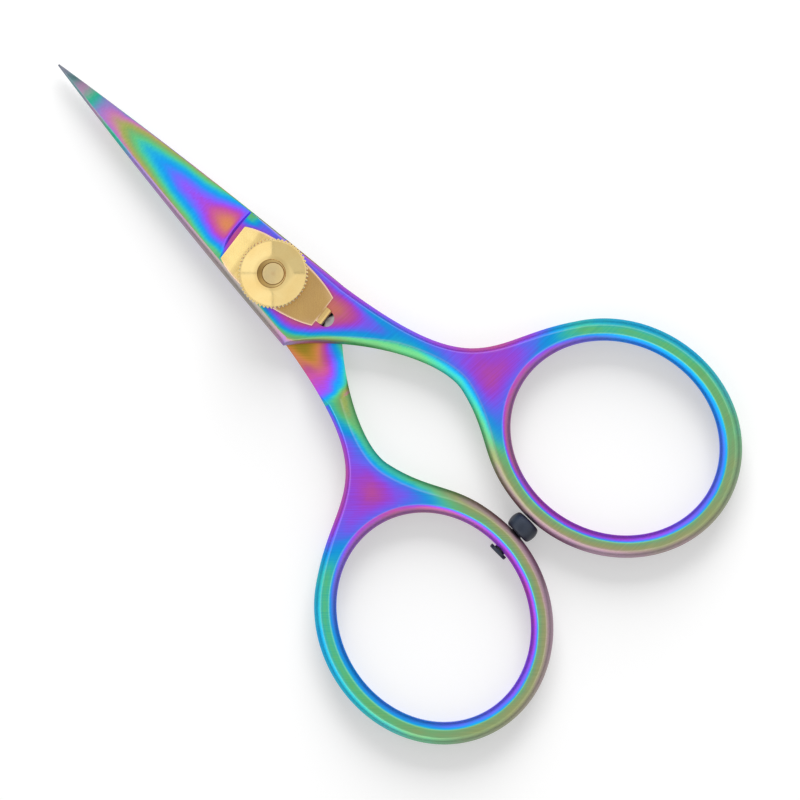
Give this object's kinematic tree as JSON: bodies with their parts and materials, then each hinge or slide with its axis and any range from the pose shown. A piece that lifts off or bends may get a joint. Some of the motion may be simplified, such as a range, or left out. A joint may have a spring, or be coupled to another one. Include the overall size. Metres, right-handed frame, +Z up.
{
  "type": "fine point shears",
  "caption": "Small fine-point shears with round finger rings, a leaf-spring tension plate, a knurled tension nut and a rubber bumper.",
  "frame": {"origin": "middle of the overall length and width, on the plane that the handles rest on", "axes": "+Y towards the tip, +X towards the front half's ring, +Z up through the tension nut"},
  "size_m": [0.0634, 0.1016, 0.0079],
  "materials": {
    "rainbow_steel": "rainbow titanium film over brushed stainless steel, from gold through magenta, violet, blue and green",
    "gold_metal": "polished pale gold plating",
    "screw_steel": "gold-plated steel with a bright turned end",
    "nylon": "natural nylon",
    "black_rubber": "smooth dark rubber"
  },
  "bodies": {
    "front": {"front_half": "rainbow_steel", "tension_plate": "gold_metal", "pivot_screw": "screw_steel"},
    "rear": {"rear_half": "rainbow_steel", "glide_washer": "nylon", "rubber_bumper": "black_rubber"},
    "nut_lift": {"nut_washer": "nylon"},
    "nut": {"tension_nut": "gold_metal"}
  },
  "joints": [
    {"name": "blades_open", "type": "hinge", "parent": "front", "child": "rear", "pos_m": [0, 0.01203, 0.002], "axis": [0, 0, -1], "range_deg": [0, 130]},
    {"name": "nut_travel", "type": "slide", "parent": "front", "child": "nut_lift", "axis": [0, 0, 1], "range_m": [0, 0.0005]},
    {"name": "nut_turn", "type": "hinge", "parent": "nut_lift", "child": "nut", "pos_m": [0, 0.01203, 0.0065], "axis": [0, 0, 1], "range_deg": [0, 360.01]}
  ],
  "couplings": [
    {"joint": "nut_turn", "follows": "nut_travel", "rad_per_m": 12566}
  ]
}
